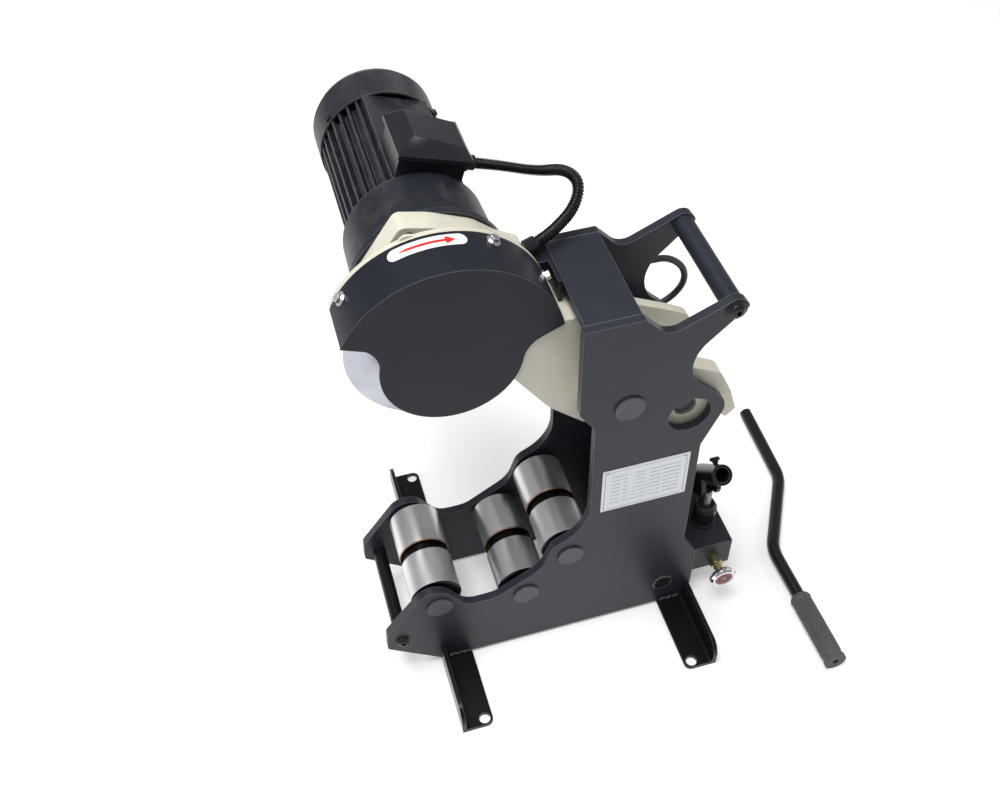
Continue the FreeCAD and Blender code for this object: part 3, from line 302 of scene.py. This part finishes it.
def printedPlate(name):  # silver plate with a thin frame and rows of plain printed strokes
    net = Net(name)
    low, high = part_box("data_plate")
    wide, tall = high[0] - low[0], high[2] - low[2]
    across = (net.axis(0) - low[0]) / wide
    up = (net.axis(2) - low[2]) / tall
    fromSide = net.node("ShaderNodeMath", {"operation": "PINGPONG"}, [across, 0.5])
    fromEnd = net.node("ShaderNodeMath", {"operation": "PINGPONG"}, [up, 0.5])
    frameLine = (fromSide > 0.030) * (fromEnd > 0.042) * (1.0 - (fromSide > 0.038) * (fromEnd > 0.053))
    rows = net.node("ShaderNodeMath", {"operation": "PINGPONG"}, [up * 11.0, 0.5]) < 0.11
    words = net.noise(1.0, 2, 0.6, net.stretched((260.0, 1.0, 9.0))) > 0.46
    inside = (fromSide > 0.10) * (fromEnd > 0.16)
    ink = rows * words * inside * 0.55 + frameLine * 0.7
    brushed = net.noise(1.0, 3, 0.7, net.stretched((6.0, 6.0, 700.0)))
    colour = net.mix(ink, net.mix(brushed, (0.60, 0.62, 0.66), (0.70, 0.72, 0.76)), (0.06, 0.06, 0.07))
    return net.close(Base_Color=colour, Metallic=0.35, Roughness=0.42 + brushed * 0.1,
                     Normal=net.bump(brushed, 0.00004, net.softEdge(0.0006)))


def plainPaint(name, tint, rough=0.4):
    net = Net(name)
    cloud = net.noise(160, 4, 0.6)
    colour = net.mix(cloud, tint, tuple(value * 0.86 for value in tint))
    return net.close(Base_Color=colour, Roughness=rough + cloud * 0.12, Normal=net.bump(cloud, 0.00004))


roller = dict(grooveAt=-0.0273, grooveHalf=0.0059, lipAt=-0.0205, lipHalf=0.0009, frontEnd=-0.0845)


def blackOxide(name, tint=(0.035, 0.036, 0.038), rough=0.34):
    net = Net(name)
    soft = net.softEdge(0.0005)
    cloud = net.noise(120, 4, 0.6)
    # edges lightened towards grey: partly worn oxide, partly a painted highlight along every sharp edge
    colour = net.mix(net.edge(soft) * 0.5, net.mix(cloud, tint, tuple(value * 1.9 for value in tint)),
                     (0.22, 0.22, 0.23))
    return net.close(Base_Color=colour, Metallic=0.6, Roughness=rough + cloud * 0.16,
                     Normal=net.bump(cloud, 0.0001, soft))


def zincPlate(name, tint, rough=0.18):
    net = Net(name)
    soft = net.softEdge(0.0005)
    bloom = net.noise(90, 4, 0.65)
    colour = net.mix(net.fade(bloom, 0.35, 0.75), tint, tuple(value * 0.78 for value in tint))
    return net.close(Base_Color=colour, Metallic=1.0, Roughness=rough + bloom * 0.16,
                     Normal=net.bump(bloom, 0.00006, soft))


def glossPlastic(name, tint=(0.012, 0.012, 0.014), rough=0.12):
    net = Net(name)
    soft = net.softEdge(0.0012)
    ripple = net.noise(40, 2)
    dust = net.noise(900, 2)
    return net.close(Base_Color=net.mix(net.fade(dust, 0.66, 0.8) * 0.3, tint, (0.06, 0.06, 0.06)),
                     Roughness=rough + dust * 0.08, Normal=net.bump(ripple, 0.0003, soft),
                     Specular_IOR_Level=0.4)


def mattRubber(name, tint=(0.018, 0.018, 0.019), rough=0.55):
    net = Net(name)
    grain = net.noise(1500, 2)
    cloud = net.noise(40, 3)
    colour = net.mix(cloud, tint, tuple(value * 1.8 for value in tint))
    return net.close(Base_Color=colour, Roughness=rough + grain * 0.15,
                     Normal=net.bump(grain, 0.0001), Specular_IOR_Level=0.4)


finishes = {
    "black_frame_paint": powderCoat("frame paint", (0.014, 0.0165, 0.024), 0.34, 0.5, 0.30),
    "black_guard_paint": powderCoat("guard paint", (0.007, 0.0085, 0.014), 0.36, 0.5, 0.22),
    "black_motor_paint": powderCoat("motor paint", (0.009, 0.0105, 0.016), 0.36, 0.9, 0.30, 0.35),
    "black_hydraulic_paint": powderCoat("pump paint", (0.006, 0.0065, 0.009), 0.24, 0.4, 0.32),
    "ivory_casting_paint": ivoryPaint("ivory paint"),
    "turned_roller_steel": rollerSteel("turned roller steel"),
    "wheel_steel": turnedSteel("ground wheel steel", (0.50, 0.515, 0.57), 0.24, 300),
    "machined_steel": turnedSteel("machined steel", (0.42, 0.43, 0.44), 0.3),
    "bearing_steel": turnedSteel("bearing steel", (0.05, 0.05, 0.052), 0.35),
    "dark_pin_steel": blackOxide("pin steel", (0.050, 0.054, 0.062), 0.40),
    "black_fastener": blackOxide("black screw", (0.015, 0.015, 0.016), 0.22),
    "data_plate_aluminium": printedPlate("plate aluminium"),
    "yellow_zinc": zincPlate("yellow zinc", (0.62, 0.57, 0.30), 0.22),
    "bright_zinc": zincPlate("bright zinc", (0.72, 0.74, 0.77)),
    "chrome_knob": knobFace("knob chrome"),
    "bronze_bush": turnedSteel("bronze", (0.50, 0.32, 0.15), 0.3),
    "winding_copper": turnedSteel("winding copper", (0.50, 0.25, 0.12), 0.35, 200),
    "black_cable_rubber": mattRubber("cable rubber", (0.012, 0.012, 0.013), 0.38),
    "gloss_black_plastic": glossPlastic("terminal plastic", (0.010, 0.011, 0.015), 0.16),
    "conduit_plastic": glossPlastic("conduit plastic", (0.005, 0.005, 0.006), 0.16),
    "fan_plastic": mattRubber("fan plastic", (0.03, 0.03, 0.032), 0.45),
    "grip_rubber": mattRubber("grip rubber", (0.045, 0.047, 0.050)),
}
footPaint = powderCoat("foot paint", (0.004, 0.004, 0.005), 0.20, 0.4, 0.25)
labelWhite = plainPaint("label white", (0.86, 0.86, 0.84))
arrowRed = plainPaint("arrow red", (0.75, 0.012, 0.012), 0.35)
weldBlack = powderCoat("weld paint", (0.010, 0.010, 0.012), 0.16, 0.4, 0.6)


def dress(piece, finish):
    piece.data.materials.clear()
    piece.data.materials.append(finish)


for part in frame["record"]["subparts"]:
    dress(frame["nodes"][part["node"]], finishes[part["material_slot"]])
for footNode in ("left_foot", "right_foot", "nose_tie_rod"):
    dress(frame["nodes"][footNode], footPaint)
print("finishes given to the packed nodes")

# ---- surfaces


def surface(name, grid, body, finish, ringed=True, capped=True, replaced=()):
    # rows of points joined into quads; ringed rows close on themselves, capped ends get one face each
    rows, columns = grid.shape[:2]
    row = np.arange(rows - 1)[:, None] * columns
    column = np.arange(columns if ringed else columns - 1)[None, :]
    after = (column + 1) % columns
    quads = np.stack([row + column, row + after, row + columns + after, row + columns + column], -1)
    faces = quads.reshape(-1, 4).tolist()
    if capped:
        faces += [list(range(columns)), list(range((rows - 1) * columns, rows * columns))]
    mesh = bpy.data.meshes.new(name)
    mesh.from_pydata(grid.reshape(-1, 3).tolist(), [], faces)
    tidy = bmesh.new()
    tidy.from_mesh(mesh)
    bmesh.ops.remove_doubles(tidy, verts=tidy.verts, dist=1e-6)
    bmesh.ops.recalc_face_normals(tidy, faces=tidy.faces)
    tidy.to_mesh(mesh)
    tidy.free()
    mesh.shade_smooth()
    mesh.set_sharp_from_angle(angle=math.radians(38))
    mesh.materials.append(finish)
    piece = bpy.data.objects.new(name, mesh)
    bpy.context.scene.collection.objects.link(piece)
    if replaced:
        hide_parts(*replaced)
    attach(piece, body)
    return piece


def across(direction, guide):  # two unit vectors square to a direction; the guide settles their turn
    side = np.cross(direction, guide)
    side /= np.linalg.norm(side, axis=-1, keepdims=True)
    return side, np.cross(side, direction)


def spun(profile, centre, axis, around=64):
    # a half outline of (radius, along) pairs turned about an axis: centre + along * axis + radius * spoke
    profile = np.array(profile, float)
    axis = np.array(axis, float) / np.linalg.norm(axis)
    guide = np.array([0.0, 0.0, 1.0]) if abs(axis[2]) < 0.9 else np.array([1.0, 0.0, 0.0])
    side, upward = across(axis, guide)
    turn = np.linspace(0, 2 * np.pi, around, endpoint=False)
    spoke = np.cos(turn)[:, None] * side + np.sin(turn)[:, None] * upward
    return (np.array(centre) + profile[:, 1, None, None] * axis
            + profile[:, 0, None, None] * spoke[None])


def smoothRoute(points, count):
    # the line of an order-3 NURBS curve over the route's points, spaced evenly along its length
    data = bpy.data.curves.new("route", "CURVE")
    data.dimensions = "3D"
    data.resolution_u = 24
    spline = data.splines.new("NURBS")
    spline.points.add(len(points) - 1)
    spline.points.foreach_set("co", np.insert(np.array(points, float), 3, 1.0, axis=1).ravel())
    spline.order_u = 3
    spline.use_endpoint_u = True
    holder = bpy.data.objects.new("route", data)
    bpy.context.scene.collection.objects.link(holder)
    bpy.context.view_layer.update()
    line = bpy.data.meshes.new_from_object(holder)
    places = np.empty(len(line.vertices) * 3)
    line.vertices.foreach_get("co", places)
    places = places.reshape(-1, 3)
    bpy.data.objects.remove(holder)
    reach = np.append(0, np.cumsum(np.linalg.norm(np.diff(places, axis=0), axis=1)))
    steps = np.linspace(0, reach[-1], count)
    return np.stack([np.interp(steps, reach, places[:, axis]) for axis in range(3)], 1), steps


def carried(line, radius, guide, around=24):
    # a circle carried along a line: point + radius * (cosine of the turn * side + sine * upward)
    direction = np.gradient(line, axis=0)
    direction /= np.linalg.norm(direction, axis=1, keepdims=True)
    side, upward = across(direction, np.array(guide, float))
    turn = np.linspace(0, 2 * np.pi, around, endpoint=False)
    spoke = np.cos(turn)[None, :, None] * side[:, None] + np.sin(turn)[None, :, None] * upward[:, None]
    radius = np.broadcast_to(np.asarray(radius, float), (len(line),))
    return line[:, None] + radius[:, None, None] * spoke


# ---- held leads

conduit = dict(
    route=((-0.0377, 0.138, 0.5834), (-0.0149, 0.138, 0.576), (0.027, 0.121, 0.570), (0.051, 0.102, 0.582),
           (0.061, 0.079, 0.579), (0.048, 0.058, 0.564), (0.020, 0.037, 0.559), (0.001, 0.026, 0.558),
           (-0.0065, 0.0235, 0.5576)),
    radius=0.0065, ribDepth=0.0016, ribPitch=0.0034, samples=620)
line, steps = smoothRoute(conduit["route"], conduit["samples"])
ribs = np.cos(2 * np.pi * steps / conduit["ribPitch"])
corrugated = conduit["radius"] - conduit["ribDepth"] * (1 - ribs) / 2
surface("conduit_tube", carried(line, corrugated, (0, 0, 1), 28), "arm", finishes["conduit_plastic"],
        replaced=("conduit",))

loopLead = dict(
    route=((0.118, 0.061, 0.467), (0.140, 0.064, 0.461), (0.165, 0.066, 0.459), (0.186, 0.066, 0.440),
           (0.191, 0.066, 0.417), (0.180, 0.066, 0.397), (0.158, 0.064, 0.387), (0.138, 0.062, 0.383),
           (0.117, 0.061, 0.377)),
    radius=0.004, samples=140)
line, steps = smoothRoute(loopLead["route"], loopLead["samples"])
surface("loop_lead_tube", carried(line, loopLead["radius"], (0, 1, 0)), "frame",
        finishes["black_cable_rubber"], replaced=("loop_lead",))
print("held leads made")

# ---- guard label

label = dict(centre=(-0.1176, 0.5006), radius=0.1185, middle=-0.0150, fromTurn=113.0, toTurn=74.5,
             halfWide=0.0078, arrowFrom=107.0, arrowTo=80.0, shaft=0.0017, head=0.0055, headShare=0.17)


def onRim(turn, along, lift):  # points on the guard's rim: a turn about its centre, a depth and a lift
    radius = label["radius"] + lift
    x = label["centre"][0] + radius * np.cos(turn)
    z = label["centre"][1] + radius * np.sin(turn)
    return np.stack([x, along, z], -1)


def rimPatch(turns, halfWidth, low, high):
    # a flat band on the rim, closed all round: four corners at each step along its length
    corners = [(-1, low), (1, low), (1, high), (-1, high)]
    rings = [onRim(turns, label["middle"] + side * halfWidth, lift) for side, lift in corners]
    return np.stack(rings, 1)


turns = np.radians(np.linspace(label["fromTurn"], label["toTurn"], 90))
reach = (turns[0] - turns) * label["radius"]
nearEnd = np.minimum(reach, reach[-1] - reach)
rounded = np.sqrt(np.clip(1 - (1 - np.clip(nearEnd / label["halfWide"], 0, 1)) ** 2, 0.003, 1))
surface("direction_label", rimPatch(turns, label["halfWide"] * rounded, 0.0, 0.00035), "arm", labelWhite)
turns = np.radians(np.linspace(label["arrowFrom"], label["arrowTo"], 60))
share = np.linspace(0, 1, 60)
shaftHalf = label["shaft"] * np.clip(0.4 + share * 4, 0, 1)
headHalf = label["head"] * (1 - share) / label["headShare"]
arrowHalf = np.where(share < 1 - label["headShare"], shaftHalf, np.maximum(headHalf, 0.00008))
surface("direction_arrow", rimPatch(turns, arrowHalf, 0.0003, 0.0006), "arm", arrowRed)

# ---- weld beads and the plug in the front plate

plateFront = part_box("front_side_plate")[0][1]
beads = {
    "weld_left_front": ((-0.1585, 0.0075), (-0.1270, 0.0075)),
    "weld_right_front": ((0.1300, 0.0075), (0.1595, 0.0075)),
}
bead = dict(radius=0.0026, pitch=0.0034, samples=160)
seed = np.random.default_rng(7)
for name, (start, end) in beads.items():
    share = np.linspace(0, 1, bead["samples"])
    x = start[0] + (end[0] - start[0]) * share
    z = start[1] + 0.0007 * np.sin(x * 700)
    line = np.stack([x, np.full_like(x, plateFront - 0.0006), z], 1)
    scales = np.abs(np.sin(np.pi * (x - x[0]) / bead["pitch"]))
    uneven = np.interp(x, np.linspace(x[0], x[-1], 12), seed.uniform(0.85, 1.15, 12))
    ends = np.sqrt(np.clip(1 - (2 * share - 1) ** 8, 0.02, 1))
    surface(name, carried(line, bead["radius"] * (0.82 + 0.22 * scales) * uneven * ends, (0, 0, 1)),
            "frame", weldBlack)

platePlug = dict(
    across=0.1312, up=0.0485, radius=0.0135,
    outline=((0.0005, -0.0012), (0.6, -0.0012), (0.86, -0.0011), (0.90, -0.0004), (0.93, -0.0012),
             (1.0, -0.0009), (1.03, 0.001)))  # radius as a share, place along the axis in metres
outline = [(share * platePlug["radius"], along) for share, along in platePlug["outline"]]
surface("plate_plug", spun(outline, (platePlug["across"], plateFront, platePlug["up"]), (0, 1, 0), 96),
        "frame", weldBlack)

# ---- socket screw in the flange's recess

flangeScrew = dict(
    place=(-0.1375, 0.0035, 0.6075),
    outline=((0.0004, 0.0015), (0.0034, 0.0015), (0.0036, 0.0), (0.0062, 0.0), (0.0066, 0.0006),
             (0.0066, 0.0085)))
surface("flange_screw", spun(flangeScrew["outline"], flangeScrew["place"], (0, 1, 0), 60), "arm",
        finishes["black_fastener"])

# ---- grip with raised hexagons

grip = dict(corner=(0.3058, -0.0735), end=(0.3074, -0.2549), gripRadius=0.0145, rodRadius=0.0085,
            long=0.101, tip=(0.3746, 0.1676), lastBend=-0.1541, across=14, relief=0.0008, lift=0.0002,
            around=224, rings=260,
            bore=((0.0040, 0.101), (0.0040, 0.096), (0.0085, 0.0955), (0.0085, 0.0)),
            waist=((0, 0.0120), (0.003, 0.0138), (0.006, 0.0140), (0.010, 0.0126), (0.090, 0.0128),
                   (0.094, 0.0128), (0.0955, 0.0143), (0.101, 0.0143)),
            relieved=((0.009, 0), (0.011, 1), (0.088, 1), (0.091, 0)))


def leverHeight(y):  # the lever lies on its grip and on the far end of its rod
    restY = (grip["lastBend"] + grip["end"][1]) / 2
    fall = (grip["gripRadius"] - grip["rodRadius"]) / (grip["tip"][1] - restY)
    return grip["gripRadius"] + grip["lift"] - (y - restY) * fall


def hexRelief(arc, run, pitch):
    # height of raised hexagons: one inside a cell, nothing on the grooves between cells;
    # the distance to a hexagon's edge is taken in the nearer of two staggered lattices of cells
    tall = pitch * math.sqrt(3)
    best = np.full(arc.shape, 1e9)
    for shiftA, shiftR in ((0, 0), (pitch / 2, tall / 2)):
        a = np.abs((arc - shiftA + pitch / 2) % pitch - pitch / 2)
        r = np.abs((run - shiftR + tall / 2) % tall - tall / 2)
        best = np.minimum(best, np.maximum(a, a / 2 + r * math.sqrt(3) / 2))
    return np.clip((pitch * 0.5 - best) / (pitch * 0.14), 0, 1)


corner = np.array([*grip["corner"], leverHeight(grip["corner"][1])])
tipEnd = np.array([*grip["end"], leverHeight(grip["end"][1])])
aim = (tipEnd - corner) / np.linalg.norm(tipEnd - corner)
root = tipEnd - aim * grip["long"]
side, upward = across(aim, np.array([0.0, 0.0, 1.0]))
turn = np.linspace(0, 2 * np.pi, grip["around"], endpoint=False)
run = np.linspace(0, grip["long"], grip["rings"])
pitch = 2 * np.pi * grip["gripRadius"] / grip["across"]
relief = hexRelief((turn * grip["gripRadius"])[None, :], run[:, None], pitch)
waist = np.interp(run, *zip(*grip["waist"]))
relieved = np.interp(run, *zip(*grip["relieved"]))
radius = waist[:, None] + grip["relief"] * relief * relieved[:, None]
spoke = np.cos(turn)[:, None] * side + np.sin(turn)[:, None] * upward
sleeve = root + run[:, None, None] * aim + radius[..., None] * spoke[None]
liner = np.stack([root + along * aim + size * spoke for size, along in grip["bore"]])
surface("grip_sleeve", np.concatenate([sleeve, liner, sleeve[:1]]), "lever", finishes["grip_rubber"],
        capped=False, replaced=("lever_grip",))
print("new pieces made")


def addFloor():
    mesh = bpy.data.meshes.new("floor")
    half = 6.0
    mesh.from_pydata([(-half, -half, 0), (half, -half, 0), (half, half, 0), (-half, half, 0)], [],
                     [(0, 1, 2, 3)])
    floor = bpy.data.objects.new("floor", mesh)
    bpy.context.scene.collection.objects.link(floor)
    net = Net("pale floor")
    shade = net.noise(3, 2)
    net.close(Base_Color=net.mix(shade, (0.90, 0.90, 0.90), (0.93, 0.93, 0.93)), Roughness=0.6,
              Specular_IOR_Level=0.1, Emission_Color=(1.0, 1.0, 1.0), Emission_Strength=0.2)
    mesh.materials.append(net.material)


addFloor()
